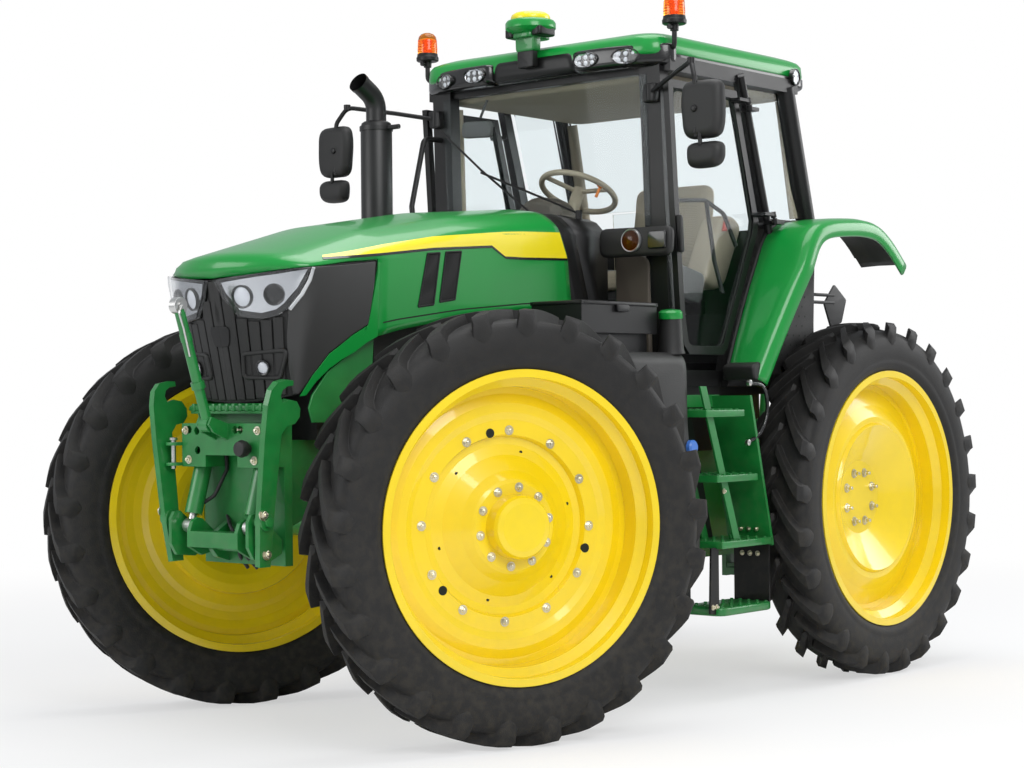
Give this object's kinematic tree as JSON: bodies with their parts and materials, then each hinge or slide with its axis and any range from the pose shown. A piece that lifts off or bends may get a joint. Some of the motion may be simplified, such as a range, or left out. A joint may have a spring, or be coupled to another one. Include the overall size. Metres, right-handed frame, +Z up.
{
  "type": "farm tractor",
  "caption": "row-crop tractor with narrow single wheels, glazed cab, wedge hood, side ladder, folding front linkage and rear three-point hitch, front wheels steered to the right",
  "frame": {"origin": "on the floor under the middle of the object's length and width", "axes": "X forward, Y to the tractor's left, Z up"},
  "size_m": [5.0259, 2.791, 3.3798],
  "materials": {
    "tyre": "moulded rubber",
    "yellow_paint": "gloss",
    "green_paint": "gloss",
    "black_paint": "satin",
    "black_plastic": "textured",
    "tan_plastic": "matt",
    "tan_fabric": "woven",
    "dark_metal": "matt",
    "bright_steel": "bright",
    "amber_lens": "clear",
    "clear_lens": "clear",
    "glass": "tinted"
  },
  "bodies": {
    "chassis": {"front_axle": "green_paint", "front_frame": "green_paint", "engine": "dark_metal", "cooling_pack": "dark_metal", "transmission": "green_paint", "cowl": "black_plastic", "cab_frame": "black_paint", "cab_tub": "green_paint", "cab_windows": "glass", "roof_base": "black_plastic", "roof_cap": "green_paint", "consoles": "tan_plastic", "steering_wheel": "tan_plastic", "seat_base": "black_plastic", "seat_cushion": "tan_fabric", "seat_backrest": "tan_fabric", "passenger_seat": "tan_plastic", "fenders": "green_paint", "fender_liners": "black_plastic", "fuel_tank": "black_plastic", "battery_box": "black_plastic", "toolbox": "black_plastic", "step_ladder": "green_paint", "exhaust": "dark_metal", "mirrors": "black_plastic", "signal_lamps": "black_plastic", "beacons": "amber_lens", "receiver": "green_paint", "handrail": "black_paint", "hitch_frame": "green_paint", "rear_hitch": "green_paint"},
    "knuckle_left": {"knuckle_left": "green_paint"},
    "knuckle_right": {"knuckle_right": "green_paint"},
    "steering_rod": {"steering_rod": "bright_steel"},
    "wheel_front_left": {"tyre_front_left": "tyre", "rim_front_left": "yellow_paint"},
    "wheel_front_right": {"tyre_front_right": "tyre", "rim_front_right": "yellow_paint"},
    "wheel_rear_left": {"tyre_rear_left": "tyre", "rim_rear_left": "yellow_paint"},
    "wheel_rear_right": {"tyre_rear_right": "tyre", "rim_rear_right": "yellow_paint"},
    "hood": {"hood": "green_paint", "grille": "black_plastic", "headlights": "clear_lens"},
    "door_left": {"door_left": "black_paint", "door_glass_left": "glass"},
    "door_right": {"door_right": "black_paint", "door_glass_right": "glass"},
    "toolbox_lid": {"toolbox_lid": "black_plastic"},
    "lift_arm": {"lift_arm": "green_paint"},
    "front_links": {"front_links": "green_paint"},
    "front_barrels": {"front_barrels": "green_paint"},
    "front_rods": {"front_rods": "bright_steel"},
    "front_top_link": {"front_top_link": "green_paint"},
    "pto_shaft": {"pto_shaft": "bright_steel"},
    "rear_lift_arms": {"rear_lift_arms": "green_paint"},
    "rear_lower_links": {"rear_lower_links": "green_paint"},
    "rear_lift_rods": {"rear_lift_rods": "green_paint"},
    "rear_top_link": {"rear_top_link": "green_paint"}
  },
  "joints": [
    {"name": "steer_left", "type": "hinge", "parent": "chassis", "child": "knuckle_left", "pos_m": [1.42, 0.773, 0.915], "axis": [0, 0, 1], "range_deg": [-4, 40.35]},
    {"name": "steer_right", "type": "hinge", "parent": "chassis", "child": "knuckle_right", "pos_m": [1.42, -0.773, 0.915], "axis": [0, 0, 1], "range_deg": [-5, 49.85]},
    {"name": "steer_rod", "type": "slide", "parent": "chassis", "child": "steering_rod", "axis": [0, 1, 0], "range_m": [-0.188, 0.019]},
    {"name": "spin_front_left", "type": "hinge", "parent": "knuckle_left", "child": "wheel_front_left", "pos_m": [1.475, 0.9201, 0.915], "axis": [0.3502, 0.9367, 0], "continuous": true},
    {"name": "spin_front_right", "type": "hinge", "parent": "knuckle_right", "child": "wheel_front_right", "pos_m": [1.3529, -0.9149, 0.915], "axis": [0.4274, 0.9041, 0], "continuous": true},
    {"name": "spin_rear_left", "type": "hinge", "parent": "chassis", "child": "wheel_rear_left", "pos_m": [-1.345, 0.973, 0.915], "axis": [0, 1, 0], "continuous": true},
    {"name": "spin_rear_right", "type": "hinge", "parent": "chassis", "child": "wheel_rear_right", "pos_m": [-1.345, -0.973, 0.915], "axis": [0, 1, 0], "continuous": true},
    {"name": "hood_lift", "type": "hinge", "parent": "chassis", "child": "hood", "pos_m": [0.451, 0, 2.3], "axis": [0, -1, 0], "range_deg": [0, 50]},
    {"name": "door_left_swing", "type": "hinge", "parent": "chassis", "child": "door_left", "pos_m": [-0.645, 0.868, 2.345], "axis": [0.3048, -0.0433, 0.9514], "range_deg": [0, 60]},
    {"name": "door_right_swing", "type": "hinge", "parent": "chassis", "child": "door_right", "pos_m": [-0.645, -0.868, 2.345], "axis": [-0.3048, -0.0433, -0.9514], "range_deg": [0, 60]},
    {"name": "toolbox_lid", "type": "hinge", "parent": "chassis", "child": "toolbox_lid", "pos_m": [0.609, 0.556, 1.872], "axis": [1, 0, 0], "range_deg": [0, 80]},
    {"name": "front_lift", "type": "hinge", "parent": "chassis", "child": "lift_arm", "pos_m": [2.187, 0, 0.845], "axis": [0, 1, 0], "range_deg": [0, 28]},
    {"name": "front_links_fold", "type": "hinge", "parent": "lift_arm", "child": "front_links", "pos_m": [2.3, 0, 0.955], "axis": [0, 1, 0], "range_deg": [0, 90]},
    {"name": "front_barrels_swing", "type": "hinge", "parent": "chassis", "child": "front_barrels", "pos_m": [2.185, 0, 1.235], "axis": [0, 1, 0], "range_deg": [-3, 1]},
    {"name": "front_rods_slide", "type": "slide", "parent": "front_barrels", "child": "front_rods", "axis": [0.2788, 0, -0.9603], "range_m": [-0.002, 0.062]},
    {"name": "front_top_link_fold", "type": "hinge", "parent": "chassis", "child": "front_top_link", "pos_m": [2.34, 0, 1.356], "axis": [0, 1, 0], "range_deg": [-10, 75]},
    {"name": "rear_lift", "type": "hinge", "parent": "chassis", "child": "rear_lift_arms", "pos_m": [-1.675, 0, 1.3], "axis": [0, 1, 0], "range_deg": [-10, 35]},
    {"name": "rear_lower_links_swing", "type": "hinge", "parent": "chassis", "child": "rear_lower_links", "pos_m": [-1.525, 0, 0.64], "axis": [0, 1, 0], "range_deg": [-8, 25]},
    {"name": "rear_lift_rods_swing", "type": "hinge", "parent": "rear_lift_arms", "child": "rear_lift_rods", "pos_m": [-1.985, 0, 1.27], "axis": [0, 1, 0], "range_deg": [-40, 12]},
    {"name": "rear_top_link_fold", "type": "hinge", "parent": "chassis", "child": "rear_top_link", "pos_m": [-1.81, 0, 1.085], "axis": [0, -1, 0], "range_deg": [0, 105]},
    {"name": "pto_spin", "type": "hinge", "parent": "chassis", "child": "pto_shaft", "pos_m": [-1.775, 0, 0.76], "axis": [1, 0, 0], "continuous": true}
  ],
  "couplings": [
    {"joint": "steer_right", "follows": "steer_left", "ratio": 1.2341},
    {"joint": "steer_rod", "follows": "steer_left", "m_per_rad": -0.265},
    {"joint": "front_barrels_swing", "follows": "front_lift", "ratio": -0.077},
    {"joint": "front_rods_slide", "follows": "front_lift", "m_per_rad": 0.1156},
    {"joint": "rear_lower_links_swing", "follows": "rear_lift", "ratio": 0.6286},
    {"joint": "rear_lift_rods_swing", "follows": "rear_lift", "ratio": -1.05}
  ]
}
